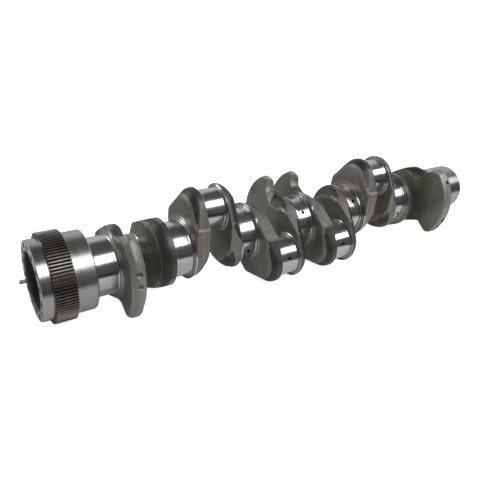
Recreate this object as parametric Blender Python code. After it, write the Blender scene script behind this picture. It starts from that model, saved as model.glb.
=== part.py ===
"""Crankshaft of a heavy six-cylinder in-line engine: seven main journals, six crankpins, twelve webs.

Metres, +X from the flywheel flange to the nose, +Z up. The origin is on the axis of rotation,
at the middle of the fourth main journal. The shaft lies as it rests on a flat floor, with the
second and fifth crankpins straight up.

The turned parts (flange, seal ring, journals, pins, nose), the forged webs, the gear ring and the
dowel are separate closed solids that meet face to face.
"""
import bmesh
import bpy
from math import cos, hypot, pi, radians, sin

# Driving dimensions
PITCH = 0.163            # from one main journal to the next, which is also the cylinder spacing
THROW = PITCH / 2        # from the axis of rotation to a crankpin's axis: half the stroke
MAIN_R = 0.0618          # main journal radius
PIN_R = 0.0453           # crankpin radius
MAIN_WIDTH = 0.0456      # between the webs at a main journal
PIN_WIDTH = 0.0525       # between the webs at a crankpin
WEB_THICKNESS = PITCH / 2 - MAIN_WIDTH / 2 - PIN_WIDTH / 2
GAP = 0.0003             # clearance between solids that meet

# Rear end, measured from the middle of the seventh main journal towards the flywheel
FLANGE_REAR = 0.1341
GEAR_REAR = 0.1122
GEAR_FRONT = 0.0702
SEAL_FRONT = 0.0284
FLANGE_R = 0.0815
SEAL_R = 0.0820
RECESS_R = 0.0580
RECESS_DEPTH = 0.0380
PILOT_R = 0.0260
PILOT_DEPTH = 0.0140
PILOT_FLOOR_SHARE = 0.6  # radius of the flat at the bottom of the pilot bore, as a share of PILOT_R
BOLT_CIRCLE_R = 0.0700
FLANGE_BOLTS = 14
FLANGE_BOLT_R = 0.0065
FLANGE_BOLT_DEPTH = 0.0300
DOWEL_R = 0.0042
DOWEL_OUT = 0.0135       # how far the dowel stands out of the flange
DOWEL_IN = 0.0120
DOWEL_CROWN = 0.3        # chamfer on the dowel's end, as a share of its radius
DOWEL_PHASE = radians(120)

# Gear ring, shrunk on the flange
TEETH = 88
GEAR_TIP_R = 0.0913
GEAR_ROOT_R = 0.0868
TOOTH_ROOT_HALF = 0.30   # half of a tooth's width, in tooth pitches
TOOTH_TIP_HALF = 0.14

# Front end, measured from the middle of the first main journal towards the nose
NOSE_FRONT = 0.0975
NOSE_BOLTS = 8
NOSE_BOLT_CIRCLE_R = 0.0420
NOSE_BOLT_R = 0.0052
NOSE_BOLT_DEPTH = 0.0240
NOSE_CENTRE_R = 0.0110
NOSE_CENTRE_DEPTH = 0.0120

# Shoulders beside each journal, oil holes
COLLAR_WIDTH = 0.0020
FILLET = 0.0026
MAIN_COLLAR_R = 0.0668
PIN_COLLAR_R = 0.0514
OIL_R = 0.0034
OIL_DEPTH = 0.0150
DRILL_PROUD = 0.0040     # how far a drilling's cutter stands out of the metal
EDGE = 0.0015            # small chamfer on turned edges

# Web outlines, with "along" towards the crankpin and "across" at a right angle to it
WEB_TIP_R = 0.0540       # round the crankpin
WEB_END_R = 0.0709       # round the main journal
WIDE_END_R = 0.0755      # the same on the webs that share a crankpin with an end counterweight
SHOULDER_ALONG = 0.0652  # where the flanks turn towards the crankpin end
COUNTER_R = 0.1240       # counterweight's outer radius
TIP_INSET = 0.0200       # slope of the crankpin end, on the main journal's side
TIP_SHARE = 0.65         # how far it reaches into the web, as a share of its thickness
END_INSET = 0.0130       # slope of the main end, on the crankpin's side
END_SHARE = 0.55
DRAFT_INSET = 0.0105     # slope of a counterweight's rim towards the nose
DRAFT_SHARE = 0.55
BREAK_INSET = 0.0018     # small chamfer everywhere else
BREAK_SHARE = 0.08       # its depth, as a share of the web's thickness
# Where each slope begins and is full, along the web (the last two away from the crankpin)
TIP_RAMP = (0.055, 0.105)
END_RAMP = (-0.010, 0.035)
FIN_RAMP = (0.020, 0.060)
FIN_MIN_R = WIDE_END_R + 0.003   # points further out than this belong to a fin
REAR_DRILLING_X = 0.0390         # balance drillings: from the seventh main journal's middle
FRONT_DRILLING_X = 0.0190        # and from the first crankpin's nose side

# Angles of the crankpins about the axis, from +Z towards +Y
PIN_PHASE = {1: 120, 2: 0, 3: 240, 4: 240, 5: 0, 6: 120}
MAIN_OIL_PHASE = {1: 137, 2: 257.5, 3: 316.5, 4: 316.5, 5: 257.5, 6: 137, 7: 137}
PIN_OIL_OFFSET = 50
PINS = 6
MAINS = 7
SIDES = 36               # facets round a main journal
PIN_SIDES = 32
FLANGE_SIDES = 48

STEEL = {
    "ground": ((0.62, 0.62, 0.63), 0.16, 1.0),
    "turned": ((0.55, 0.54, 0.53), 0.30, 1.0),
    "gear": ((0.16, 0.145, 0.13), 0.45, 1.0),
    "forged": ((0.19, 0.175, 0.16), 0.48, 1.0),
    "counterweight": ((0.23, 0.22, 0.205), 0.52, 1.0),
    "dowel": ((0.45, 0.45, 0.45), 0.25, 1.0),
}


def main_x(number):
    """Middle of a main journal: the first is next to the nose, the last next to the flange."""
    return (4 - number) * PITCH


def pin_x(number):
    """Middle of a crankpin, halfway between two main journals."""
    return (3.5 - number) * PITCH


def make_material(name, finish):
    colour, roughness, metallic = STEEL[finish]
    material = bpy.data.materials.new(name)
    material.use_nodes = True
    shader = material.node_tree.nodes["Principled BSDF"]
    shader.inputs["Base Color"].default_value = (*colour, 1.0)
    shader.inputs["Roughness"].default_value = roughness
    shader.inputs["Metallic"].default_value = metallic
    material.diffuse_color = (*colour, 1.0)
    return material


def finish_object(name, bm, finish):
    """Make a named object with its own material from a bmesh."""
    bmesh.ops.recalc_face_normals(bm, faces=bm.faces)
    mesh = bpy.data.meshes.new(name)
    bm.to_mesh(mesh)
    bm.free()
    mesh.shade_smooth()
    mesh.set_sharp_from_angle(angle=radians(30))
    mesh.materials.append(make_material(name, finish))
    item = bpy.data.objects.new(name, mesh)
    bpy.context.collection.objects.link(item)
    item.parent = shaft
    return item


def loft(bm, rings):
    """Join equal rings of points along X and close both ends with a flat face."""
    loops = [[bm.verts.new(point) for point in ring] for ring in rings]
    count = len(loops[0])
    for first, second in zip(loops, loops[1:]):
        for i in range(count):
            j = (i + 1) % count
            bm.faces.new((first[i], first[j], second[j], second[i]))
    bm.faces.new(loops[0])
    bm.faces.new(list(reversed(loops[-1])))


def circle(x, radius, sides):
    return [(x, radius * sin(2 * pi * i / sides), radius * cos(2 * pi * i / sides)) for i in range(sides)]


def turned(name, profile, sides, finish):
    """Solid of revolution about X from (x, radius) pairs that start and end on flat faces."""
    bm = bmesh.new()
    loft(bm, [circle(x, radius, sides) for x, radius in profile])
    return finish_object(name, bm, finish)


def drill(target, holes, sides=12):
    """Cut blind holes. Each is (start point, unit direction into the metal, radius, depth)."""
    bm = bmesh.new()
    for start, direction, radius, depth in holes:
        sx, sy, sz = start
        dx, dy, dz = direction
        if abs(dx) > 0.5:
            u, v = (0.0, 1.0, 0.0), (0.0, 0.0, 1.0)
        else:
            u, v = (1.0, 0.0, 0.0), (0.0, -dz, dy)
        rings = []
        for t in (-DRILL_PROUD, depth):
            ring = []
            for i in range(sides):
                c, s = radius * cos(2 * pi * i / sides), radius * sin(2 * pi * i / sides)
                ring.append((sx + dx * t + u[0] * c + v[0] * s,
                             sy + dy * t + u[1] * c + v[1] * s,
                             sz + dz * t + u[2] * c + v[2] * s))
            rings.append(ring)
        loft(bm, rings)
    cutter = finish_object(target.name + "_drills", bm, "turned")
    cutter.hide_render = True
    cutter.display_type = "WIRE"
    cut = target.modifiers.new("drill", "BOOLEAN")
    cut.operation = "DIFFERENCE"
    cut.object = cutter


def journal_profile(start, end, radius, collar_r):
    """Journal between two shoulders, with a small fillet at each."""
    return [
        (start, collar_r),
        (start + COLLAR_WIDTH, collar_r),
        (start + COLLAR_WIDTH + FILLET, radius),
        (end - COLLAR_WIDTH - FILLET, radius),
        (end - COLLAR_WIDTH, collar_r),
        (end, collar_r),
    ]


def radial_hole(x, phase, radius_at, centre=(0.0, 0.0)):
    """Oil hole drilled straight in from a journal's surface."""
    y, z = sin(phase), cos(phase)
    start = (x, centre[0] + y * radius_at, centre[1] + z * radius_at)
    return (start, (0.0, -y, -z), OIL_R, OIL_DEPTH)


def make_main_journal(number):
    x = main_x(number)
    start, end = x - MAIN_WIDTH / 2 + GAP / 2, x + MAIN_WIDTH / 2 - GAP / 2
    profile = journal_profile(start, end, MAIN_R, MAIN_COLLAR_R)
    if number == MAINS:
        profile = [(x - SEAL_FRONT + GAP, MAIN_R)] + profile[3:]
    if number == 1:
        profile = profile[:3] + [(end, MAIN_R)]
    journal = turned(f"main_journal_{number}", profile, SIDES, "ground")
    drill(journal, [radial_hole(x, radians(MAIN_OIL_PHASE[number]), MAIN_R)], sides=8)


def make_crankpin(number):
    x = pin_x(number)
    phase = radians(PIN_PHASE[number])
    start, end = x - PIN_WIDTH / 2 + GAP / 2, x + PIN_WIDTH / 2 - GAP / 2
    centre = (THROW * sin(phase), THROW * cos(phase))
    bm = bmesh.new()
    rings = []
    for px, radius in journal_profile(start, end, PIN_R, PIN_COLLAR_R):
        rings.append([(a, b + centre[0], c + centre[1]) for a, b, c in circle(px, radius, PIN_SIDES)])
    loft(bm, rings)
    pin = finish_object(f"crankpin_{number}", bm, "ground")
    drill(pin, [radial_hole(x, phase + radians(PIN_OIL_OFFSET), PIN_R, centre)], sides=8)


def arc(centre, radius, start, end, steps):
    """Points on an arc in a web's (along, across) plane, angles in degrees."""
    points = []
    for i in range(steps + 1):
        angle = radians(start + (end - start) * i / steps)
        points.append((centre + radius * cos(angle), radius * sin(angle)))
    return points


def mirrored(points):
    return [(along, -across) for along, across in reversed(points)]


def plain_outline(end_r):
    """Oval web: round at the crankpin, straight flanks, round at the main journal."""
    tip = arc(THROW, WEB_TIP_R, -60, 60, 8)
    end = arc(0.0, end_r, 90, 270, 12)
    return tip + [(SHOULDER_ALONG, end_r)] + end + [(SHOULDER_ALONG, -end_r)]


def middle_counterweight_outline():
    """Web with a fin straight opposite the crankpin and a neck on each side of it."""
    side = [(SHOULDER_ALONG, WEB_END_R)] + arc(0.0, WEB_END_R, 90, 119, 2)
    side += [(-0.0570, 0.0450), (-0.0720, 0.0425), (-0.0835, 0.0490), (-0.0915, 0.0610), (-0.0985, 0.0668)]
    fin = arc(0.0, COUNTER_R, 148, 212, 8)
    return arc(THROW, WEB_TIP_R, -60, 60, 8) + side + fin + mirrored(side)


def end_counterweight_outline():
    """Web whose counterweight is turned towards one flank, for the balance of the whole shaft."""
    near = [(SHOULDER_ALONG, WEB_END_R), (0.0135, 0.0755), (-0.0090, 0.0815)]
    near += [(-0.0180, 0.0913), (-0.0260, 0.1070), (-0.0330, 0.1140)]
    fin = arc(0.0, COUNTER_R, 111, 199, 10)
    far = [(-0.1080, -0.0480), (-0.0970, -0.0520), (-0.0790, -0.0475), (-0.0590, -0.0490)]
    far += [(-0.0400, -0.0640), (-0.0210, -0.0780), (0.0030, -0.0815), (0.0330, -0.0770)]
    return arc(THROW, WEB_TIP_R, -60, 60, 8) + near + fin + far + [(SHOULDER_ALONG, -WEB_END_R)]


def ramp(value, low, high):
    return min(1.0, max(0.0, (value - low) / (high - low)))


def inset_outline(outline, tip, end, fin, elsewhere):
    """Move each point inwards by the amount for its region: crankpin end, main end, fin, flanks."""
    count = len(outline)
    moved = []
    for i, (along, across) in enumerate(outline):
        before, after = outline[i - 1], outline[(i + 1) % count]
        run, rise = after[0] - before[0], after[1] - before[1]
        length = hypot(run, rise)
        distance = elsewhere + (tip - elsewhere) * ramp(along, *TIP_RAMP)
        if hypot(along, across) > FIN_MIN_R:
            distance += (fin - elsewhere) * ramp(-along, *FIN_RAMP)
        else:
            distance += (end - elsewhere) * ramp(-along, *END_RAMP)
        moved.append((along - distance * rise / length, across + distance * run / length))
    return moved


def web_ring(outline, x, phase):
    """Turn a web's outline to its crankpin's angle at one place along the shaft."""
    ring = []
    for along, across in outline:
        y = along * sin(phase) + across * cos(phase)
        z = along * cos(phase) - across * sin(phase)
        ring.append((x, y, z))
    return ring


def make_web(number):
    """Web between a main journal and a crankpin. Odd ones are on their crankpin's nose side."""
    pin = (number + 1) // 2
    nose_side = number % 2 == 1
    start = pin_x(pin) + (PIN_WIDTH / 2 if nose_side else -PIN_WIDTH / 2 - WEB_THICKNESS) + GAP / 2
    depth = WEB_THICKNESS - GAP
    outline = plain_outline(WIDE_END_R if number in (2, 11) else WEB_END_R)
    if number in (6, 7):
        outline = middle_counterweight_outline()
    if number in (1, 12):
        outline = end_counterweight_outline()
    rings = []
    for from_main in (0.0, BREAK_SHARE, 1.0 - END_SHARE, TIP_SHARE, 1.0 - BREAK_SHARE, 1.0):
        share = 1.0 - from_main if nose_side else from_main
        at_face = BREAK_INSET if share in (0.0, 1.0) else 0.0
        tip = max(at_face, TIP_INSET * (1.0 - from_main / TIP_SHARE))
        end = max(at_face, END_INSET * (1.0 - (1.0 - from_main) / END_SHARE))
        fin = max(at_face, DRAFT_INSET * (1.0 - (1.0 - share) / DRAFT_SHARE))
        points = inset_outline(outline, tip, end, fin, at_face)
        rings.append(web_ring(points, start + depth * share, radians(PIN_PHASE[pin])))
    bm = bmesh.new()
    loft(bm, rings)
    finish = "counterweight" if number in (1, 6, 7, 12) else "forged"
    return finish_object(f"web_{number:02d}", bm, finish)


def balance_drilling(pin, x, angle, radius, depth):
    """Hole drilled into a counterweight's rim, at an angle measured from its own crankpin."""
    phase = radians(PIN_PHASE[pin] + angle)
    y, z = sin(phase), cos(phase)
    start = (x, COUNTER_R * y, COUNTER_R * z)
    return (start, (0.0, -y, -z), radius, depth)


def make_flange():
    rear = main_x(MAINS) - FLANGE_REAR
    front = main_x(MAINS) - GEAR_FRONT - GAP
    profile = [
        (rear + RECESS_DEPTH + PILOT_DEPTH, PILOT_FLOOR_SHARE * PILOT_R),
        (rear + RECESS_DEPTH + PILOT_DEPTH, PILOT_R),
        (rear + RECESS_DEPTH, PILOT_R),
        (rear + RECESS_DEPTH, RECESS_R),
        (rear + EDGE, RECESS_R),
        (rear, RECESS_R + EDGE),
        (rear, FLANGE_R - EDGE),
        (rear + EDGE, FLANGE_R),
        (front, FLANGE_R),
    ]
    flange = turned("rear_flange", profile, FLANGE_SIDES, "turned")
    holes = []
    for i in range(FLANGE_BOLTS):
        phase = DOWEL_PHASE + (i + 0.5) * 2 * pi / FLANGE_BOLTS
        start = (rear, BOLT_CIRCLE_R * sin(phase), BOLT_CIRCLE_R * cos(phase))
        holes.append((start, (1.0, 0.0, 0.0), FLANGE_BOLT_R, FLANGE_BOLT_DEPTH))
    dowel_start = (rear, BOLT_CIRCLE_R * sin(DOWEL_PHASE), BOLT_CIRCLE_R * cos(DOWEL_PHASE))
    holes.append((dowel_start, (1.0, 0.0, 0.0), DOWEL_R + GAP, DOWEL_IN + GAP))
    drill(flange, holes, sides=10)


def make_dowel():
    rear = main_x(MAINS) - FLANGE_REAR
    profile = [
        (rear - DOWEL_OUT, (1.0 - DOWEL_CROWN) * DOWEL_R),
        (rear - DOWEL_OUT + DOWEL_CROWN * DOWEL_R, DOWEL_R),
        (rear + DOWEL_IN, DOWEL_R),
    ]
    bm = bmesh.new()
    rings = []
    for x, radius in profile:
        rings.append([(a, b + BOLT_CIRCLE_R * sin(DOWEL_PHASE), c + BOLT_CIRCLE_R * cos(DOWEL_PHASE))
                      for a, b, c in circle(x, radius, 16)])
    loft(bm, rings)
    finish_object("flywheel_dowel_pin", bm, "dowel")


def make_gear():
    """Ring of straight teeth, wider at the root than at the tip."""
    rear = main_x(MAINS) - GEAR_REAR
    front = main_x(MAINS) - GEAR_FRONT - GAP
    step = 2 * pi / TEETH
    corner_r = (FLANGE_R + GAP) / cos(step / 2)
    shape = [(-TOOTH_ROOT_HALF, GEAR_ROOT_R), (-TOOTH_TIP_HALF, GEAR_TIP_R),
             (TOOTH_TIP_HALF, GEAR_TIP_R), (TOOTH_ROOT_HALF, GEAR_ROOT_R)]
    bm = bmesh.new()
    outer, inner = [], []
    for x in (rear, front):
        teeth, bore = [], []
        for i in range(TEETH):
            for part, radius in shape:
                angle = (i + part) * step
                teeth.append(bm.verts.new((x, radius * sin(angle), radius * cos(angle))))
            angle = (i - 0.5) * step
            bore.append(bm.verts.new((x, corner_r * sin(angle), corner_r * cos(angle))))
        outer.append(teeth)
        inner.append(bore)
    total = len(outer[0])
    for i in range(total):
        j = (i + 1) % total
        bm.faces.new((outer[0][i], outer[0][j], outer[1][j], outer[1][i]))
    for i in range(TEETH):
        j = (i + 1) % TEETH
        bm.faces.new((inner[0][i], inner[1][i], inner[1][j], inner[0][j]))
        for k in (0, 1):
            tooth = [outer[k][4 * i + n] for n in range(4)]
            bm.faces.new([inner[k][i]] + tooth + [inner[k][j]])
            bm.faces.new([inner[k][j], tooth[3], outer[k][(4 * i + 4) % total]])
    return finish_object("crank_gear", bm, "gear")


def make_seal_ring():
    rear = main_x(MAINS) - GEAR_FRONT
    front = main_x(MAINS) - SEAL_FRONT
    profile = [
        (rear, FLANGE_R),
        (rear + EDGE, SEAL_R),
        (front - 2 * EDGE, SEAL_R),
        (front, SEAL_R - 2 * EDGE),
    ]
    turned("rear_seal_ring", profile, FLANGE_SIDES, "turned")


def make_nose():
    rear = main_x(1) + MAIN_WIDTH / 2 + GAP / 2
    front = main_x(1) + NOSE_FRONT
    profile = [(rear, MAIN_R), (front - 2 * EDGE, MAIN_R), (front, MAIN_R - 2 * EDGE)]
    nose = turned("front_nose", profile, SIDES, "turned")
    holes = [((front, 0.0, 0.0), (-1.0, 0.0, 0.0), NOSE_CENTRE_R, NOSE_CENTRE_DEPTH)]
    for i in range(NOSE_BOLTS):
        phase = (i + 0.5) * 2 * pi / NOSE_BOLTS
        start = (front, NOSE_BOLT_CIRCLE_R * sin(phase), NOSE_BOLT_CIRCLE_R * cos(phase))
        holes.append((start, (-1.0, 0.0, 0.0), NOSE_BOLT_R, NOSE_BOLT_DEPTH))
    drill(nose, holes, sides=12)


for old in list(bpy.data.objects):
    bpy.data.objects.remove(old, do_unlink=True)
shaft = bpy.data.objects.new("shaft", None)
bpy.context.collection.objects.link(shaft)

make_flange()
make_dowel()
make_gear()
make_seal_ring()
for journal_number in range(1, MAINS + 1):
    make_main_journal(journal_number)
for pin_number in range(1, PINS + 1):
    make_crankpin(pin_number)
webs = {web_number: make_web(web_number) for web_number in range(1, 2 * PINS + 1)}
make_nose()

# Balance drillings, each where the shaft carried too much metal
rear_rim_x = main_x(MAINS) + REAR_DRILLING_X
drill(webs[12], [
    balance_drilling(6, rear_rim_x, 166, 0.0068, 0.0180),
    balance_drilling(6, rear_rim_x, 155, 0.0055, 0.0140),
])
front_rim_x = pin_x(1) + PIN_WIDTH / 2 + FRONT_DRILLING_X
drill(webs[1], [
    balance_drilling(1, front_rim_x, 186, 0.0040, 0.0120),
    balance_drilling(1, front_rim_x, 134, 0.0058, 0.0160),
    balance_drilling(1, front_rim_x, 121, 0.0058, 0.0160),
])
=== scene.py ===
"""Crankshaft of a heavy six-cylinder in-line engine, on a studio floor.

Metres, +X towards the nose, +Z up. The origin is on the axis of rotation, at the middle of the
fourth main journal. Webs are shaped with their crankpin straight up: z is then "along" the web and
y is "across" it. Each one is turned to its crankpin's angle at the end.
"""
from math import cos, hypot, pi, radians, sin

import bmesh
import bpy
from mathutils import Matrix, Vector


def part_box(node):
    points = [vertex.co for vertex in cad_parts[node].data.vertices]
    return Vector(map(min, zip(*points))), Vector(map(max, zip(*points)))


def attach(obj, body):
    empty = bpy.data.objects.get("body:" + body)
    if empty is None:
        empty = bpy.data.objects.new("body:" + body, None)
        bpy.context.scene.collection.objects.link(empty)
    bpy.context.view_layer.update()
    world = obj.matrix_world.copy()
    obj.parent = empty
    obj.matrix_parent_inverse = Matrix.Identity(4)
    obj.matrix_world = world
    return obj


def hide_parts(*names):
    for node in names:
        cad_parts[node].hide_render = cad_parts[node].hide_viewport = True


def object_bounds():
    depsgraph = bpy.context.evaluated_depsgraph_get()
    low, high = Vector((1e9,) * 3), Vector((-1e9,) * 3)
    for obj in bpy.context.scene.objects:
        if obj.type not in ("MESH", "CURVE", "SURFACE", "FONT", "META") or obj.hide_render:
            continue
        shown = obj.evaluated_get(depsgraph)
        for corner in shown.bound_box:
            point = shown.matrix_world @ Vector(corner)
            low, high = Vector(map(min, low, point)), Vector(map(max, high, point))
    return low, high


bl_info = {
    "name": "Six-cylinder crankshaft",
    "version": (1, 0, 0),
    "blender": (4, 5, 0),
    "location": "View3D > Sidebar > Crankshaft",
    "description": "Builds a forged and ground crankshaft piece by piece on its solid model",
    "category": "Add Mesh",
}

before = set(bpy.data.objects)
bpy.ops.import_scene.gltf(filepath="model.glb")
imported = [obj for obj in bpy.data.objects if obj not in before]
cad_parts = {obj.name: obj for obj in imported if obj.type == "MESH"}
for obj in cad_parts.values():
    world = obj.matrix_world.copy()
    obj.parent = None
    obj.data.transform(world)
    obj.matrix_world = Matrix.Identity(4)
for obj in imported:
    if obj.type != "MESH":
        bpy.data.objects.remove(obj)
cad_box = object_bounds()

PITCH = 0.163            # from one main journal to the next
THROW = PITCH / 2
MAIN_WIDTH = 0.0456      # between the webs at a main journal
PIN_WIDTH = 0.0525       # between the webs at a crankpin
WEB_THICKNESS = PITCH / 2 - MAIN_WIDTH / 2 - PIN_WIDTH / 2
OVERLAP = 0.003          # how far a journal runs into its webs, so that no gap shows

# Angles from straight up, in degrees. Journals and crankpins are counted from the nose.
PIN_PHASE = {1: 120, 2: 0, 3: 240, 4: 240, 5: 0, 6: 120}
MAIN_OIL_PHASE = {1: 137, 2: 257.5, 3: 316.5, 4: 316.5, 5: 257.5, 6: 137, 7: 137}
PIN_OIL_OFFSET = 50      # from a crankpin's own angle to its oil hole
DOWEL_PHASE = radians(120)
FLANGE_BOLTS = 14
NOSE_BOLTS = 8
TEETH = 88

# Ends of the solid model's pieces along the shaft
REAR_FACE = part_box("rear_flange")[0].x
GEAR_REAR, GEAR_FRONT = (corner.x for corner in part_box("crank_gear"))
SEAL_REAR, SEAL_FRONT = (corner.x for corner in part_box("rear_seal_ring"))
NOSE_REAR, NOSE_FACE = (corner.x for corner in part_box("front_nose"))
DOWEL_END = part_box("flywheel_dowel_pin")[0].x
FLOOR_LEVEL = cad_box[0][2]

TURN_STEPS = 144         # flats round a turned piece
DOWEL_STEPS = 48
HOLE_STEPS = 24
SMOOTH = 28              # edges up to this many degrees are smoothed
GEAR_SMOOTH = 24

# Journals
RING_STEP = 0.0008       # from a web's face to the face of the thin ring beside it
COLLAR_STEP = 0.0022     # from a web's face to the collar's
CHAMFER = 0.0004
MAIN_RING_R, PIN_RING_R = 0.0722, 0.0526
BESIDE_HOLE = 0.0055     # half the plain width that an oil hole needs
SEAL_FILLET = 0.0025     # between the rear journal and the seal ring

# Drillings
DRILL_PROUD = 0.0040     # how far a drill stands out of the metal
DRILL_POINT = 0.5        # length of a drill's point, in radii
SINK = 0.0012            # how much wider a hole is at its mouth
MOUTH_SLACK = 0.0001     # the outermost rim of a mouth isn't counted as its wall
OIL_DEPTH = 0.015
HOLE_WALL = (0.0004, 0.034)               # depths between which a face belongs to a hole

# Rear end and nose. Steps are given as a depth from the end face and a radius or a change of it.
EDGE = 0.0015
RECESS_DEPTH, RECESS_FILLET = 0.038, 0.003                # recess in the flywheel flange
RECESS_MOUTH = ((0.0180, 0.0), (0.0172, 0.0008), (0.0030, 0.0008), (0.0, 0.0036))
PILOT_DEPTH, PILOT_R, PILOT_FLOOR_R, PILOT_POINT = 0.014, 0.0260, 0.0150, 0.006    # bore at its bottom
FLANGE_TAPER = 0.0005                     # the flange's hidden end is this much slimmer
FLANGE_BOLT = (0.0065, 0.030, 0.0074)     # radius, depth, radius at the mouth
BOLT_WALL = 0.0078                        # from the bolt circle to just beyond a hole's mouth
DOWEL_SLACK, DOWEL_FLARE, DOWEL_BORE = 0.0002, 0.0009, 0.011    # dowel hole: wider by, at the mouth, depth
DOWEL_CROWN, DOWEL_IN, DOWEL_FOOT = 0.0016, 0.0100, 0.0006      # dowel: rounding, length inside, chamfer
SEAL_EDGE = 0.0012
SEAL_LEAD_IN = ((0.0025, 0.0), (0.0007, 0.0012), (0.0, 0.0025))
NOSE_EDGE = 0.0018
NOSE_GROOVE = ((0.0, 0.0006), (0.0010, 0.0006), (0.0016, 0.0))    # at the nose's inner end
NOSE_CENTRE = ((0.0, 0.0116), (0.0009, 0.0107), (0.0110, 0.0040), (0.0118, 0.0))
NOSE_CIRCLE_R = 0.042
NOSE_BOLT = (0.0052, 0.024, 0.0062)       # radius, depth, radius at the mouth

# Gear ring
GEAR_CHAMFER = 0.0008
GEAR_FIT = 0.0001                         # the ring's bore is this much smaller than the flange
# Half of a gap between teeth: radius beyond the root or the tip, and half width in tooth pitches
GAP_AT_ROOT = ((0.0002, 0.11), (0.0007, 0.19), (0.0016, 0.235), (0.0028, 0.29))
GAP_AT_TIP = ((-0.0004, 0.345), (0.0010, 0.42))
GAP_OVERRUN = 0.002
TIP_WEAR_AND_HIGHLIGHT_R = (0.0898, 0.0911)               # the teeth get brighter between these radii: wear with a painted highlight on the tips

# Web outlines
WEB_TIP_R = 0.0540       # round the crankpin
WEB_END_R = 0.0709       # round the main journal
REAR_WIDE_R = 0.0755     # main end of web 11
FRONT_WIDE_R = 0.0738    # main end of web 2
SHOULDER_ALONG = 0.0685  # corner between the crankpin end and a flank
WIDE_SHOULDER = 0.0650   # the same on webs 2 and 11
COUNTER_R = 0.1240       # rim of a counterweight
TIP_FROM = 0.055                          # points further along than this belong to the crankpin end
# Slope of the crankpin end, on the main journal's side, on even and on odd webs: share of the
# thickness, inset, and where along the web it begins and is full
REAR_TIP = (0.65, 0.0190, 0.062, 0.114)
NOSE_TIP = (0.80, 0.0270, 0.012, 0.068)
END_SHARE = 0.70                          # slope of the main end, on the crankpin's side
REAR_END, NOSE_END = 0.0130, 0.0250       # its inset on even and on odd webs
WIDE_END, FLYWHEEL_END = 0.0140, 0.0240   # on webs 2 and 11, and on web 12
# Where the other slopes begin and are full, measured from the main journal's axis, away from the crankpin
END_RAMP = (-0.012, 0.026)                # main end
FIN_RAMP = (0.020, 0.060)                 # counterweight's rim
# A point belongs to the counterweight, the fin, when it is this far down the web and this far out
FIN_START, FIN_RADII = (-0.010, 0.020), (0.0775, 0.0875)
SHADE_DEPTH = 0.0050                             # painted shade: a slope takes its dark colour from this depth under the face
# Slopes of a counterweight's rim, towards the nose and towards the flywheel: share and inset
MIDDLE_DRAFT, MIDDLE_ROUNDING = (0.70, 0.0170), (0.08, 0.0020)
REAR_DRAFT, REAR_ROUNDING = (0.45, 0.0115), (0.30, 0.0085)
FRONT_DRAFT, FRONT_ROUNDING = (0.25, 0.0030), (0.10, 0.0020)
FIN_REACH = 0.068                         # from a fin's centre to its rim
SLOPE_BANDS = 24                          # steps in which a slope runs out along a web
LOBE_R = 0.085                            # a counterweight's rim lies further out than this; nearer in, the necks keep the dark rim and slope colours as painted shade
BLEND_R = 0.091                           # the rear one is rounded and blasted from here outwards
# Seven sections shape each side of a web, from its flat face inwards. A slope is given as shares of
# its depth and inset, rounded where it meets the face and the rim. The broken edge is in metres.
SLOPE_PROFILE = ((0.0, 1.10), (0.03, 0.94), (0.10, 0.77), (0.28, 0.54), (0.55, 0.27), (0.82, 0.07),
                 (1.06, 0.0))
BREAK_PROFILE = ((0.0, 0.0014), (0.0003, 0.0008), (0.0007, 0.0004), (0.0011, 0.0001),
                 (0.0014, 0.0), (0.0017, 0.0), (0.0020, 0.0))
SECTIONS = 2 * len(SLOPE_PROFILE)
DISC_R, DISC_DEPTH, DISC_PROUD = 0.0812, 0.0009, 0.002    # turned ring round the main journal
RELIEF_DEPTH = 0.0028                     # web 1 is set back by this beside its crankpin
RELIEF_BORDER = ((-0.125, 0.105), (-0.100, 0.064), (-0.081, 0.0365), (-0.063, 0.0150), (-0.049, -0.0090),
                 (-0.033, -0.0390), (-0.019, -0.0790), (-0.006, -0.1150), (0.145, -0.1150), (0.145, 0.105))
# Balance holes: degrees from the web's crankpin, distance from its main face, radius and depth
REAR_HOLES = ((166, 0.0162, 0.0068, 0.006), (155, 0.0162, 0.0055, 0.005))
FRONT_HOLES = ((-186, 0.0135, 0.0040, 0.012), (-134, 0.0135, 0.0058, 0.016), (-121, 0.0135, 0.0058, 0.016))

# How far a face's normal points along X tells flat faces, slopes and rims apart
FLAT, SLOPING, STEEP, EDGE_LIKE, RIM_LIKE = 0.99, 0.96, 0.93, 0.25, 0.3
COLLAR_LIKE = 0.75                        # the same for the end faces of a journal's collars
EDGE_BORDER = 0.0011                      # a web's broken edge is within this of its faces
# A flank's faces point across the web, between its foot and its top, and lie near the middle
FLANK_LIKE, FLANK_FOOT, FLANK_TOP, FLANK_REACH = 0.80, -0.045, 0.092, 0.1
MERGE, NEARLY = 1e-5, 1e-4                # distances that count as none

# Slots of the materials of a journal, of the flange and of a web
# DRILLING_SLOT holds the near-black painted shade inside the oil holes
COLLAR_SLOT, DRILLING_SLOT = 1, 2
RECESS_SLOT = 1
# SHADED_SLOPE holds the dark slope colour, which is painted shade
# WORN_HIGHLIT holds worn edges brightened further as a painted highlight
FACE, SHADED_SLOPE, RIM, FLANK, MACHINED, WORN_HIGHLIT, COUNTER, LOBE = range(8)

# Bright finishes: colour, roughness, marks per metre, share of them across end faces, relief
BRIGHT = {
    "Ground steel": ("ground", 0.16, 1600.0, 0.0, 0.05),
    "Collar steel": ("collar", 0.30, 1200.0, 1.0, 0.3),
    "Flange steel": ("turned", 0.22, 900.0, 1.0, 0.3),
    "Seal ring steel": ("turned", 0.27, 900.0, 1.0, 0.3),
    "Nose steel": ("turned", 0.22, 900.0, 1.0, 0.3),
    "Dowel steel": ("dowel", 0.24, 700.0, 0.0, 0.2),
}
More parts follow.
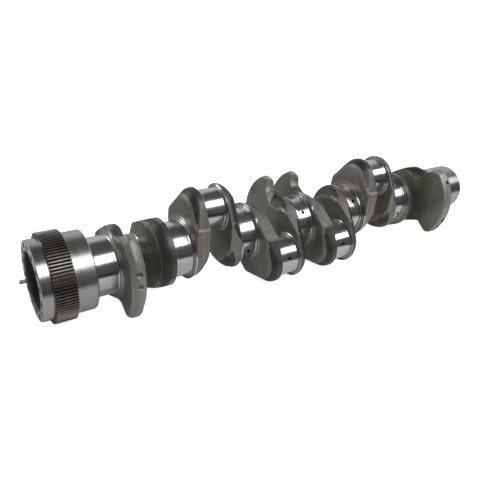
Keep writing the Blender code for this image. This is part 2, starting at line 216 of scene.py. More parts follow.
# Dull finishes: colour, tint of the patches, roughness, coarseness, strength of strokes, relief
DULL = {
    "Forged face": ("face", (0.165, 0.142, 0.105), 0.46, 1.0, 0.25, 0.45),
    # Heated face: heat tint on webs 2 and 11; on web 1 it also paints the shade of the face set back beside
    # the crankpin
    "Heated face": ("heated", (0.120, 0.098, 0.060), 0.44, 1.0, 0.20, 0.45),
    # Forged slope: its dark colour is painted shade on the slopes round the web ends
    "Forged slope": ("slope", (0.095, 0.080, 0.058), 0.42, 1.2, 0.10, 0.35),
    "Milled web rim": ("rim", (0.115, 0.108, 0.098), 0.40, 1.0, 0.35, 0.5),
    "Milled flank": ("flank", (0.200, 0.165, 0.125), 0.42, 1.0, 0.60, 0.4),
    "Turned cheek": ("cheek", (0.200, 0.175, 0.160), 0.36, 1.4, 0.20, 0.2),
    # Worn edge: real edge wear brightened further as a painted highlight along the broken edges
    "Worn edge": ("edge", (0.300, 0.280, 0.250), 0.34, 1.5, 0.30, 0.2),
    "Blasted counterweight rim": ("counterweight", (0.210, 0.198, 0.178), 0.48, 1.5, 0.55, 1.0),
    # Oil hole walls: near-black colour painted as the shade inside the holes
    "Oil drilling": ("drilling", (0.020, 0.018, 0.015), 0.50, 1.0, 0.10, 0.2),
    # Recess steel: oiled steel darkened as painted shade inside the flange's recess and its holes
    "Recess steel": ("recess", (0.100, 0.092, 0.075), 0.42, 1.0, 0.20, 0.2),
}
FILM_TINT = (0.80, 0.74, 0.66)            # oil film against clean steel

# Stage
CAMERA_PLACE = (-0.7765, -0.9111, 0.5897)
CAMERA_TURN = (61.12159, -4.32698, -32.25211)             # degrees
LENS, SENSOR, CLIP_END = 39.74, 36.0, 200.0
FLOOR_SIZE, FLOOR_GLOW = 80.0, 0.86
FLAG_PLACE, FLAG_SIZE, FLAG_COLOUR = (1.0, -2.42, FLOOR_LEVEL + 0.002), (12.0, 4.0), (0.03, 0.028, 0.025)
WHITE = (1.0, 1.0, 1.0)
# Lights: name, place, point aimed at, size, watts
LIGHTS = (
    ("Long_softbox", (0.78, -0.90, 1.20), (0.78, 0.0, 0.0), (3.2, 0.80), 24.0),
    ("Back_softbox", (-1.4, 1.7, 1.4), (0.0, 0.0, 0.0), (1.2, 1.0), 10.0),
)
# Backdrop: how far behind and how low it shines, and the room's and the backdrop's strength
BEHIND, LOW, ROOM = (-0.15, 0.25), (0.55, 0.75), (0.08, 0.56)


def main_x(number):
    return (4 - number) * PITCH


def pin_x(number):
    return (3.5 - number) * PITCH


def spoke(angle, radius=1.0, x=0.0):
    """Point at a radius from the axis of rotation, at an angle from straight up."""
    return Vector((x, radius * sin(angle), radius * cos(angle)))


# ---------------------------------------------------------------- modelling

def select_only(piece):
    bpy.ops.object.select_all(action="DESELECT")
    piece.select_set(True)
    bpy.context.view_layer.objects.active = piece


def begin(name):
    """Start an empty piece in edit mode."""
    bpy.ops.object.select_all(action="DESELECT")
    bpy.ops.mesh.primitive_plane_add(size=0.01)
    piece = bpy.context.object
    piece.name = name
    piece.data.name = name
    bpy.ops.object.mode_set(mode="EDIT")
    bpy.ops.mesh.select_mode(type="VERT")
    bpy.ops.mesh.select_all(action="SELECT")
    bpy.ops.mesh.delete(type="VERT")
    return piece


def trace(points):
    """Draw a line through the points, as a chain of edges."""
    bpy.ops.mesh.primitive_plane_add(size=0.01, location=points[0])
    bpy.ops.mesh.merge(type="CENTER")
    for here, there in zip(points, points[1:]):
        step = Vector(there) - Vector(here)
        bpy.ops.mesh.extrude_vertices_move(TRANSFORM_OT_translate={"value": step})


def pull_out(width, layers=1):
    """Fill the line just drawn and extrude that face along +X."""
    bpy.ops.mesh.select_all(action="SELECT")
    bpy.ops.mesh.edge_face_add()
    bpy.ops.mesh.select_mode(type="FACE")
    bpy.ops.mesh.select_all(action="SELECT")
    for _ in range(layers):
        bpy.ops.mesh.extrude_region_move(TRANSFORM_OT_translate={"value": (width, 0.0, 0.0)})


def close_up():
    """Merge seams and poles, point every face outwards and leave edit mode."""
    bpy.ops.mesh.select_all(action="SELECT")
    bpy.ops.mesh.remove_doubles(threshold=MERGE)
    bpy.ops.mesh.normals_make_consistent(inside=False)
    bpy.ops.object.mode_set(mode="OBJECT")


def turn(name, profile, steps=TURN_STEPS):
    """Turn a line of (x, radius) points about the X axis. It ends on the axis or closes on itself."""
    piece = begin(name)
    trace([(x, 0.0, radius) for x, radius in profile])
    bpy.ops.mesh.select_all(action="SELECT")
    bpy.ops.mesh.spin(steps=steps, angle=2 * pi, center=(0, 0, 0), axis=(1, 0, 0))
    close_up()
    return piece


def quarter(x, radius, size, start, end, steps=6):
    """Points on a small arc of a turned profile, centred on (x, radius), angles in degrees from +X."""
    points = []
    for i in range(steps + 1):
        angle = radians(start + (end - start) * i / steps)
        points.append((x + size * cos(angle), radius + size * sin(angle)))
    return points


def copy_of(piece, name):
    select_only(piece)
    bpy.ops.object.duplicate()
    copied = bpy.context.object
    copied.name = name
    copied.data.name = name
    return copied


def settle(piece, location, rotation=(0.0, 0.0, 0.0)):
    """Put a piece in its place and apply it, so that its object stays at the origin."""
    select_only(piece)
    piece.location = location
    piece.rotation_euler = rotation
    bpy.ops.object.transform_apply(location=True, rotation=True, scale=True)


def cut(piece, cutter):
    """Take the cutter's shape out of a piece and throw the cutter away."""
    select_only(piece)
    modifier = piece.modifiers.new("cut", "BOOLEAN")
    modifier.operation = "DIFFERENCE"
    modifier.solver = "EXACT"
    modifier.object = cutter
    bpy.ops.object.modifier_apply(modifier=modifier.name)
    select_only(cutter)
    bpy.ops.object.delete()
    select_only(piece)


def drill_bit(radius, depth, flare):
    """Drill that works along +X from the origin, with a countersink that opens to the flare radius."""
    return turn("drill_bit", [
        (-DRILL_PROUD, 0.0),
        (-DRILL_PROUD, flare + DRILL_PROUD),
        (0.0, flare),
        (flare - radius, radius),
        (depth, radius),
        (depth + radius * DRILL_POINT, 0.0),
    ], HOLE_STEPS)


def drill(piece, start, direction, radius, depth, flare):
    bit = drill_bit(radius, depth, flare)
    settle(bit, start, Vector(direction).to_track_quat("X", "Z").to_euler())
    cut(piece, bit)


def drill_inwards(piece, start, out, radius, depth, slot):
    """Countersunk hole against the outward direction, with a finish of its own."""
    drill(piece, start, -out, radius, depth, radius + SINK)
    reach = radius + SINK - MOUTH_SLACK
    paint_faces(piece, slot, lambda face: in_hole(face, start, out, reach))


def drill_circle(piece, x, circle_r, count, first, bolt, inwards):
    """A ring of equal holes in a face of the shaft, made with one bit copied round the axis."""
    bit = drill_bit(*bolt)
    settle(bit, spoke(first, circle_r, x), (0.0, 0.0, 0.0 if inwards > 0 else pi))
    ring_of_copies(bit, count)
    cut(piece, bit)


def ring_of_copies(piece, count):
    select_only(piece)
    bpy.ops.object.mode_set(mode="EDIT")
    bpy.ops.mesh.select_all(action="SELECT")
    bpy.ops.mesh.spin(steps=count - 1, dupli=True, angle=2 * pi * (count - 1) / count,
                      center=(0, 0, 0), axis=(1, 0, 0))
    bpy.ops.mesh.select_all(action="SELECT")
    bpy.ops.mesh.normals_make_consistent(inside=False)
    bpy.ops.object.mode_set(mode="OBJECT")


def deliver(piece, node, smooth=SMOOTH):
    """Smooth the piece, attach it to the root body in its CAD node's place and hide that node."""
    select_only(piece)
    bpy.ops.object.shade_smooth_by_angle(angle=radians(smooth))
    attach(piece, "root")
    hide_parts(node)


def wear(piece, *materials):
    piece.data.materials.clear()
    for material in materials:
        piece.data.materials.append(material)


def paint_faces(piece, slot, test):
    """Give a material slot to the faces that pass the test."""
    select_only(piece)
    bpy.ops.object.mode_set(mode="EDIT")
    bpy.ops.mesh.select_mode(type="FACE")
    bpy.ops.mesh.select_all(action="DESELECT")
    mesh = bmesh.from_edit_mesh(piece.data)
    for face in mesh.faces:
        face.select = test(face)
    bmesh.update_edit_mesh(piece.data)
    piece.active_material_index = slot
    bpy.ops.object.material_slot_assign()
    bpy.ops.object.mode_set(mode="OBJECT")


def in_hole(face, start, out, radius):
    """Inside a hole drilled from start along -out."""
    away = face.calc_center_median() - start
    depth = -away.dot(out)
    return (away + out * depth).length < radius and HOLE_WALL[0] < depth < HOLE_WALL[1]


# ---------------------------------------------------------------- webs

def arc(centre, radius, start, end, steps):
    """Points on an arc in the (along, across) plane, angles in degrees."""
    points = []
    for i in range(steps + 1):
        angle = radians(start + (end - start) * i / steps)
        points.append((centre + radius * cos(angle), radius * sin(angle)))
    return points


def mirrored(points):
    return [(along, -across) for along, across in reversed(points)]


def flowing(points, steps=3):
    """Smooth curve through a few points."""
    curve = []
    last = len(points) - 1
    for i in range(last):
        p = [Vector(points[min(max(i + k, 0), last)]) for k in (-1, 0, 1, 2)]
        for j in range(steps):
            t = j / steps
            place = 0.5 * (2 * p[1] + (p[2] - p[0]) * t
                           + (2 * p[0] - 5 * p[1] + 4 * p[2] - p[3]) * t * t
                           + (3 * p[1] - p[0] - 3 * p[2] + p[3]) * t ** 3)
            curve.append(tuple(place))
    curve.append(tuple(points[-1]))
    return curve


def tip_arc():
    return arc(THROW, WEB_TIP_R, -60, 60, 32)


def straight(start, end, steps):
    """Points from start up to, but not at, the end."""
    return [tuple(Vector(start).lerp(Vector(end), i / steps)) for i in range(steps)]


def flank(end_r):
    """From the crankpin end's arc, over the shoulder, to the main end's arc."""
    corner = (WIDE_SHOULDER if end_r > WEB_END_R else SHOULDER_ALONG, end_r)
    return straight(tip_arc()[-1], corner, 8)[1:] + straight(corner, (0.0, end_r), 14)


def plain_outline(end_r):
    """Oval web: round at the crankpin, straight flanks, round at the main journal."""
    side = flank(end_r)
    return tip_arc() + side + arc(0.0, end_r, 90, 270, 48) + mirrored(side)


def middle_outline():
    """Web with a fin straight opposite the crankpin and a neck on each side of it."""
    neck = flowing([(-0.0344, 0.0620), (-0.0570, 0.0465), (-0.0725, 0.0455), (-0.0845, 0.0525),
                    (-0.0922, 0.0622), (-0.0985, 0.0672), (-0.1052, 0.0657)])
    side = flank(WEB_END_R) + arc(0.0, WEB_END_R, 90, 116, 7) + neck
    return tip_arc() + side + arc(0.0, COUNTER_R, 150, 210, 26) + mirrored(side)


def end_outline(hump):
    """Web whose counterweight is turned towards one flank. The hump is how far the other one bulges."""
    corner = (SHOULDER_ALONG, WEB_END_R)
    near = straight(tip_arc()[-1], corner, 8)[1:] + straight(corner, (0.0135, 0.0755), 9)
    near += flowing([(0.0135, 0.0755), (-0.0090, 0.0815), (-0.0180, 0.0913), (-0.0260, 0.1070),
                     (-0.0330, 0.1140), (-0.0444, 0.1158)])
    far = flowing([(-0.1172, -0.0404), (-0.1080, -0.0490), (-0.0970, -0.0535), (-0.0790, -0.0500),
                   (-0.0590, -0.0520), (-0.0400, 0.0110 - hump), (-0.0210, -hump), (0.0030, -0.0775),
                   (0.0330, -0.0750), (SHOULDER_ALONG, -WEB_END_R)], 4)
    far += straight((SHOULDER_ALONG, -WEB_END_R), tip_arc()[0], 8)[1:]
    return tip_arc() + near + arc(0.0, COUNTER_R, 113, 197, 32) + far


def ramp(value, low, high):
    return min(1.0, max(0.0, (value - low) / (high - low)))


def pull(piece, members, shift=0.0, centre=None, factor=1.0):
    """Slide some points along X and draw them in towards a centre (along, across)."""
    bpy.ops.mesh.select_all(action="DESELECT")
    mesh = bmesh.from_edit_mesh(piece.data)
    mesh.verts.ensure_lookup_table()
    for index in members:
        mesh.verts[index].select = True
    bmesh.update_edit_mesh(piece.data)
    if shift:
        bpy.ops.transform.translate(value=(shift, 0.0, 0.0))
    if factor != 1.0:
        along, across = centre
        bpy.ops.transform.resize(value=(1.0, factor, factor), center_override=(0.0, across, along))


def rear_tip_share(along, across):
    return ramp(along, *REAR_TIP[2:])


def nose_tip_share(along, across):
    return ramp(along, *NOSE_TIP[2:])


def end_share(along, across):
    return ramp(-along, *END_RAMP)


def on_fin(along, across):
    return ramp(hypot(along, across), *FIN_RADII) * ramp(-along, *FIN_START)


def necked_end_share(along, across):
    return end_share(along, across) * (1.0 - on_fin(along, across))


def fin_share(along, across):
    return ramp(-along, *FIN_RAMP) * on_fin(along, across)


def build_web(name, outline, end_r, even, end_inset, fin_centre=None, draft=None, rounding=None):
    """Web with its main journal's face at x = 0 and its crankpin's face at x = WEB_THICKNESS."""
    piece = begin(name)
    trace([(0.0, across, along) for along, across in outline])
    spacing = WEB_THICKNESS / (SECTIONS - 1)
    pull_out(spacing, SECTIONS - 1)
    bpy.ops.mesh.select_mode(type="VERT")

    tip_share, tip = (rear_tip_share, REAR_TIP) if even else (nose_tip_share, NOSE_TIP)
    tip = (tip_share, tip[0], tip[1], (THROW, 0.0), WEB_TIP_R)
    end = (necked_end_share if fin_centre else end_share, END_SHARE, end_inset, (0.0, 0.0), end_r)
    main_side, pin_side = [tip], [end]
    if fin_centre:
        to_nose = (fin_share, *draft, fin_centre, FIN_REACH)
        to_rear = (fin_share, *rounding, fin_centre, FIN_REACH)
        main_side.append(to_rear if even else to_nose)
        pin_side.append(to_nose if even else to_rear)
    sections = {}
    for point in bmesh.from_edit_mesh(piece.data).verts:
        number = round(point.co.x / spacing)
        sections.setdefault(number, []).append((point.index, point.co.z, point.co.y))
    for number, points in sections.items():
        at_main = number < SECTIONS // 2
        step = number if at_main else SECTIONS - 1 - number
        depth, inset = BREAK_PROFILE[step]
        level = depth if at_main else WEB_THICKNESS - depth
        everyone = [index for index, _, _ in points]
        pull(piece, everyone, level - number * spacing)
        if inset:
            at_tip = [index for index, along, across in points if along > TIP_FROM]
            at_fin = [index for index, along, across in points if fin_centre and on_fin(along, across) > 0.5]
            rest = sorted(set(everyone) - set(at_tip) - set(at_fin))
            for members, centre, reach in ((at_tip, (THROW, 0.0), WEB_TIP_R), (rest, (0.0, 0.0), end_r),
                                           (at_fin, fin_centre, FIN_REACH)):
                if members:
                    pull(piece, members, 0.0, centre, 1.0 - inset / reach)
        for slope in main_side if at_main else pin_side:
            cut_slope(piece, points, slope, step, 1.0 if at_main else -1.0)
    close_up()
    return piece


def cut_slope(piece, points, slope, step, inwards):
    """Shape one section of a slope that runs out along the web, in bands of equal share."""
    share_of, share_of_thickness, inset, centre, reach = slope
    depth_part, inset_part = SLOPE_PROFILE[step]
    groups = {}
    for index, along, across in points:
        band = round(share_of(along, across) * SLOPE_BANDS)
        if band:
            groups.setdefault(band, []).append(index)
    for band, members in groups.items():
        share = band / SLOPE_BANDS
        shift = inwards * share_of_thickness * WEB_THICKNESS * depth_part * share
        pull(piece, members, shift, centre, 1.0 - inset * inset_part * share / reach)


def is_shaded_slope(face):
    """Deeper part of a slope, which gets the dark colour that paints its shade: the part next to the face
    keeps the face's look.
    """
    under = WEB_THICKNESS / 2 - abs(face.calc_center_median().x - WEB_THICKNESS / 2)
    return RIM_LIKE < abs(face.normal.x) <= SLOPING and under > SHADE_DEPTH


def is_flank(face):
    """The straight sides between the two round ends."""
    centre = face.calc_center_median()
    beside = abs(face.normal.y) > FLANK_LIKE and abs(face.normal.x) < RIM_LIKE
    top = FLANK_TOP - centre.x / 2
    return beside and FLANK_FOOT < centre.z < top and hypot(centre.y, centre.z) < FLANK_REACH


def is_broken_edge(face):
    at_face = not EDGE_BORDER < face.calc_center_median().x < WEB_THICKNESS - EDGE_BORDER
    return EDGE_LIKE < abs(face.normal.x) < STEEP and at_face


# Only the outer lobe gets the light counterweight colour; inside LOBE_R the neck stays dark as painted shade
# of its valley
def is_fin_rim(face):
    centre = face.calc_center_median()
    return abs(face.normal.x) < STEEP and hypot(centre.y, centre.z) > LOBE_R and centre.z < 0.0


def is_blended(face):
    """Outer part of the rear counterweight, seen from the flywheel side."""
    centre = face.calc_center_median()
    return face.normal.x < -0.1 and centre.z < 0.0 and hypot(centre.y, centre.z) > BLEND_R


def relieve(piece):
    """Set the web back beside its crankpin, so that the counterweight stands proud of it."""
    relief = begin("relief")
    trace([(WEB_THICKNESS - RELIEF_DEPTH, across, along) for along, across in RELIEF_BORDER])
    pull_out(2 * RELIEF_DEPTH)
    close_up()
    wear(relief, *piece.data.materials)
    cut(piece, relief)
    proud = WEB_THICKNESS - 0.1 * RELIEF_DEPTH
    # The proud lobe takes the lighter forged colour and the set-back face keeps the darker heat-tint colour:
    # a painted lit and shaded contrast
    paint_faces(piece, LOBE, lambda face: face.normal.x > STEEP and face.calc_center_median().x > proud)


def paint_web(piece, counterweight):
    paint_faces(piece, FACE, lambda face: abs(face.normal.x) > RIM_LIKE)
    # The deeper slopes get the dark slope colour as painted shade
    paint_faces(piece, SHADED_SLOPE, is_shaded_slope)
    paint_faces(piece, RIM, lambda face: abs(face.normal.x) <= RIM_LIKE)
    paint_faces(piece, FLANK, is_flank)
    if counterweight:
        paint_faces(piece, COUNTER, is_fin_rim)
    # Broken edges get the bright edge colour: wear with a painted highlight
    paint_faces(piece, WORN_HIGHLIT, is_broken_edge)
    disc = turn("disc", [(-DISC_PROUD, 0.0), (-DISC_PROUD, DISC_R), (DISC_DEPTH, DISC_R), (DISC_DEPTH, 0.0)])
    wear(disc, *piece.data.materials)
    cut(piece, disc)
    paint_faces(piece, MACHINED, lambda face: abs(face.normal.x) > FLAT
                and abs(face.calc_center_median().x - DISC_DEPTH) < NEARLY)


def place_web(piece, number):
    """Stand a web at its crankpin: even ones on the flywheel side of it, odd ones on the nose side."""
    pin = (number + 1) // 2
    phase = radians(PIN_PHASE[pin])
    away = PIN_WIDTH / 2 + WEB_THICKNESS
    if number % 2 == 0:
        settle(piece, (pin_x(pin) - away, 0.0, 0.0), (-phase, 0.0, 0.0))
    else:
        settle(piece, (pin_x(pin) + away, 0.0, 0.0), (phase, 0.0, pi))


# ---------------------------------------------------------------- materials

def add(tree, kind, inputs=None, **settings):
    """Add a node. An input is given a value or linked to another node's socket."""
    node = tree.nodes.new(kind)
    for key, value in settings.items():
        setattr(node, key, value)
    for key, value in (inputs or {}).items():
        if isinstance(value, bpy.types.NodeSocket):
            tree.links.new(value, node.inputs[key])
        else:
            node.inputs[key].default_value = value
    return node


def arithmetic(tree, operation, first, second):
    return add(tree, "ShaderNodeMath", {0: first, 1: second}, operation=operation).outputs[0]


def times(tree, value, factor):
    return arithmetic(tree, "MULTIPLY", value, factor)


def spread(tree, value, low, high, out_low=0.0, out_high=1.0):
    """Stretch the values from low to high over the values from out_low to out_high."""
    return add(tree, "ShaderNodeMapRange", {
        "Value": value, "From Min": low, "From Max": high, "To Min": out_low, "To Max": out_high,
    }).outputs["Result"]


def blend_colours(tree, factor, first, second):
    node = add(tree, "ShaderNodeMix", {0: factor, 6: first, 7: second}, data_type="RGBA")
    return node.outputs[2]


def noise(tree, vector, scale, detail, roughness, distortion=0.0):
    return add(tree, "ShaderNodeTexNoise", {
        "Vector": vector, "Scale": scale, "Detail": detail, "Roughness": roughness, "Distortion": distortion,
    }).outputs["Fac"]


def from_axis(tree, vector):
    """Place along the shaft, and distance from its axis."""
    split = add(tree, "ShaderNodeSeparateXYZ", {0: vector}).outputs
    flat = add(tree, "ShaderNodeCombineXYZ", {"Y": split["Y"], "Z": split["Z"]}).outputs[0]
    return split["X"], add(tree, "ShaderNodeVectorMath", {0: flat}, operation="LENGTH").outputs["Value"]


def scaled_by(tree, vector, factor):
    node = add(tree, "ShaderNodeVectorMath", {0: vector, "Scale": factor}, operation="SCALE")
    return node.outputs["Vector"]


def new_group(name, values, results):
    """Start a node group that reads a place and some values, and gives one number per result."""
    tree = bpy.data.node_groups.new(name, "ShaderNodeTree")
    tree.interface.new_socket("Vector", in_out="INPUT", socket_type="NodeSocketVector")
    for label, default in values.items():
        socket = tree.interface.new_socket(label, in_out="INPUT", socket_type="NodeSocketFloat")
        socket.default_value = default
    for label in results:
        tree.interface.new_socket(label, in_out="OUTPUT", socket_type="NodeSocketFloat")
    return tree, tree.nodes.new("NodeGroupInput").outputs


def give(tree, results):
    """Wire a node group's results to its outputs."""
    end = tree.nodes.new("NodeGroupOutput")
    for label, value in results.items():
        tree.links.new(value, end.inputs[label])
    return tree


def lathe_marks(name):
    """Fine rings left by turning or grinding, along the shaft and across its end faces."""
    tree, given = new_group(name, {"Marks per metre": 900.0, "Across faces": 1.0}, ("Marks", "Bands"))
    x, radius = from_axis(tree, given["Vector"])
    radius = times(tree, radius, given["Across faces"])
    pair = add(tree, "ShaderNodeCombineXYZ", {"X": x, "Y": radius}).outputs[0]
    scaled = scaled_by(tree, pair, given["Marks per metre"])
    return give(tree, {
        "Marks": noise(tree, scaled, 1.0, 3.0, 0.7),
        "Bands": noise(tree, scaled, 0.07, 2.0, 0.5),
    })


def handling_smears(name):
    """Soft uneven film of oil and finger marks."""
    tree, given = new_group(name, {}, ("Film", "Specks"))
    film = noise(tree, given["Vector"], 13.0, 5.0, 0.6, 1.5)
    specks = noise(tree, given["Vector"], 420.0, 2.0, 0.5)
    return give(tree, {"Film": spread(tree, film, 0.35, 0.70), "Specks": spread(tree, specks, 0.66, 0.74)})


def forged_skin(name):
    """Scale and pits of a forged and shot-blasted surface."""
    tree, given = new_group(name, {"Coarseness": 1.0}, ("Mottle", "Patches", "Pits", "Height"))
    scaled = scaled_by(tree, given["Vector"], given["Coarseness"])
    grain = noise(tree, scaled, 520.0, 3.0, 0.6)
    dents = noise(tree, scaled, 140.0, 2.0, 0.5)
    pits = spread(tree, noise(tree, scaled, 260.0, 2.0, 0.5), 0.62, 0.72)
    height = arithmetic(tree, "ADD", times(tree, grain, 0.35), dents)
    return give(tree, {
        "Mottle": noise(tree, scaled, 60.0, 6.0, 0.65),
        "Patches": noise(tree, scaled, 9.0, 4.0, 0.6, 0.8),
        "Pits": pits,
        "Height": arithmetic(tree, "SUBTRACT", height, times(tree, pits, 0.4)),
    })


def grinding_strokes(name):
    """Slanting scratches of a belt or a milling cutter."""
    tree, given = new_group(name, {"Density": 260.0}, ("Strokes",))
    slanted = add(tree, "ShaderNodeMapping", {
        "Vector": given["Vector"],
        "Rotation": (0.0, radians(38), radians(31)),
        "Scale": (1.0, 0.05, 0.05),
    }).outputs[0]
    return give(tree, {"Strokes": noise(tree, slanted, given["Density"], 4.0, 0.65)})


EFFECTS = {
    "Lathe marks": lathe_marks,
    "Handling smears": handling_smears,
    "Forged skin": forged_skin,
    "Grinding strokes": grinding_strokes,
}


def effect(tree, name, inputs):
    """Place a shared node group, which is built the first time that it is asked for."""
    shared = bpy.data.node_groups.get(name) or EFFECTS[name](name)
    return add(tree, "ShaderNodeGroup", inputs, node_tree=shared).outputs


def start_material(name):
    material = bpy.data.materials.new(name)
    material.use_nodes = True
    tree = material.node_tree
    return material, tree, add(tree, "ShaderNodeTexCoord").outputs["Object"]


def finish_material(material, colour, roughness, metallic, height, relief, distance):
    """Wire the colour, the roughness and a bump into the material's shader."""
    tree = material.node_tree
    bumps = add(tree, "ShaderNodeBump", {"Strength": relief, "Distance": distance, "Height": height})
    shader = tree.nodes["Principled BSDF"]
    tree.links.new(colour, shader.inputs["Base Color"])
    tree.links.new(roughness, shader.inputs["Roughness"])
    tree.links.new(bumps.outputs["Normal"], shader.inputs["Normal"])
    shader.inputs["Metallic"].default_value = metallic
    return material


def rgba(colour, factor=1.0):
    return (colour[0] * factor, colour[1] * factor, colour[2] * factor, 1.0)


def bright_steel(name, colour, roughness, marks_per_metre, across, relief):
    """Ground or turned steel."""
    material, tree, place = start_material(name)
    marks = effect(tree, "Lathe marks", {
        "Vector": place, "Marks per metre": marks_per_metre, "Across faces": across,
    })
    smears = effect(tree, "Handling smears", {"Vector": place})
    base = blend_colours(tree, spread(tree, marks["Bands"], 0.3, 0.7), rgba(colour, 0.92), rgba(colour, 1.04))
    oiled = rgba([part * tint for part, tint in zip(colour, FILM_TINT)])
    base = blend_colours(tree, times(tree, smears["Film"], 0.18), base, oiled)
    base = blend_colours(tree, times(tree, smears["Specks"], 0.35), base, rgba(colour, 0.4))
    rough = spread(tree, marks["Marks"], 0.3, 0.7, roughness * 0.8, roughness * 1.2)
    rough = arithmetic(tree, "ADD", rough, times(tree, smears["Film"], 0.06))
    return finish_material(material, base, rough, 1.0, marks["Marks"], relief, 0.0001)


def dull_steel(name, colour, tint, roughness, coarseness, strokes, relief):
    """Forged, blasted or rough-machined steel, with the tint in its patches."""
    material, tree, place = start_material(name)
    skin = effect(tree, "Forged skin", {"Vector": place, "Coarseness": coarseness})
    scratch = effect(tree, "Grinding strokes", {"Vector": place})
    mottle = spread(tree, skin["Mottle"], 0.35, 0.65)
    base = blend_colours(tree, mottle, rgba(colour, 0.84), rgba(colour, 1.16))
    base = blend_colours(tree, spread(tree, skin["Patches"], 0.45, 0.72, 0.0, 0.7), base, rgba(tint))
    base = blend_colours(tree, times(tree, skin["Pits"], 0.5), base, rgba(colour, 0.5))
    lines = spread(tree, scratch["Strokes"], 0.50, 0.70, 0.0, strokes)
    base = blend_colours(tree, lines, base, rgba(colour, 1.7))
    rough = spread(tree, skin["Mottle"], 0.3, 0.7, roughness - 0.06, roughness + 0.08)
    rough = arithmetic(tree, "SUBTRACT", rough, times(tree, lines, 0.15))
    height = arithmetic(tree, "SUBTRACT", skin["Height"], times(tree, lines, 0.6))
    return finish_material(material, base, rough, 0.6, height, relief, 0.0006)


def gear_steel(context):
    """Dark oiled steel, worn bright at the tips of the teeth, with a painted highlight there."""
    colours = context.scene.crank_colours
    material, tree, place = start_material("Gear steel")
    skin = effect(tree, "Forged skin", {"Vector": place, "Coarseness": 1.6})
    smears = effect(tree, "Handling smears", {"Vector": place})
    tip_wear_and_highlight = spread(tree, from_axis(tree, place)[1], *TIP_WEAR_AND_HIGHLIGHT_R)
    tip_wear_and_highlight = times(tree, tip_wear_and_highlight, spread(tree, skin["Mottle"], 0.3, 0.7, 0.6, 1.0))
    mottle = spread(tree, skin["Mottle"], 0.35, 0.65)
    base = blend_colours(tree, mottle, rgba(colours.gear, 0.8), rgba(colours.gear, 1.2))
    base = blend_colours(tree, tip_wear_and_highlight, base, rgba(colours.gear_tip))
    rough = spread(tree, smears["Film"], 0.0, 1.0, 0.32, 0.46)
    return finish_material(material, base, rough, 0.9, skin["Height"], 0.2, 0.0004)


def steel(context, name):
    """Material of a listed finish, made the first time that it is asked for."""
    if name in bpy.data.materials:
        return bpy.data.materials[name]
    make, finishes = (bright_steel, BRIGHT) if name in BRIGHT else (dull_steel, DULL)
    key, *values = finishes[name]
    return make(name, getattr(context.scene.crank_colours, key), *values)


def matte(name, colour, roughness):
    """Plain material of the stage, without any shine."""
    material = bpy.data.materials.new(name)
    material.use_nodes = True
    shader = material.node_tree.nodes["Principled BSDF"]
    shader.inputs["Base Color"].default_value = rgba(colour)
    shader.inputs["Roughness"].default_value = roughness
    shader.inputs["Specular IOR Level"].default_value = 0.0
    return material


def web_materials(context, heated):
    """Materials of a web in the order of its slots."""
    names = ("Heated face" if heated else "Forged face", "Forged slope", "Milled web rim", "Milled flank",
             "Turned cheek", "Worn edge", "Blasted counterweight rim", "Forged face")
    return [steel(context, name) for name in names]


# ---------------------------------------------------------------- sizes and colours

def length(name, default, description):
    return bpy.props.FloatProperty(name=name, description=description, default=default, min=0.0,
                                   unit="LENGTH", subtype="DISTANCE", precision=4)


def colour(name, default, description):
    return bpy.props.FloatVectorProperty(name=name, description=description, default=default, size=3,
                                         min=0.0, max=1.0, subtype="COLOR")


class CrankSizes(bpy.types.PropertyGroup):
    main_radius: length("Main radius", 0.0618, "Radius of the ground main journals")
    pin_radius: length("Crankpin radius", 0.0453, "Radius of the ground crankpins")
    main_collar: length("Main collar", 0.0668, "Radius of the thrust collar beside a main journal")
    pin_collar: length("Crankpin collar", 0.0505, "Radius of the collar beside a crankpin")
    fillet: length("Fillet", 0.0040, "Rolled fillet where a journal meets its collar")
    oil_radius: length("Oil hole", 0.0034, "Radius of the oil holes in journals and crankpins")
    flange_radius: length("Flange radius", 0.0815, "Outer radius of the flywheel flange")
    seal_radius: length("Seal radius", 0.0820, "Outer radius of the rear seal ring")
    gear_tip: length("Gear tip", 0.0913, "Radius at the tips of the gear's teeth")
    gear_root: length("Gear root", 0.0868, "Radius at the roots of the gear's teeth")
    recess_radius: length("Recess radius", 0.0580, "Radius of the recess in the flywheel flange")
    bolt_circle: length("Bolt circle", 0.0700, "Radius of the circle of flywheel bolts")
    dowel_radius: length("Dowel radius", 0.0042, "Radius of the flywheel dowel")


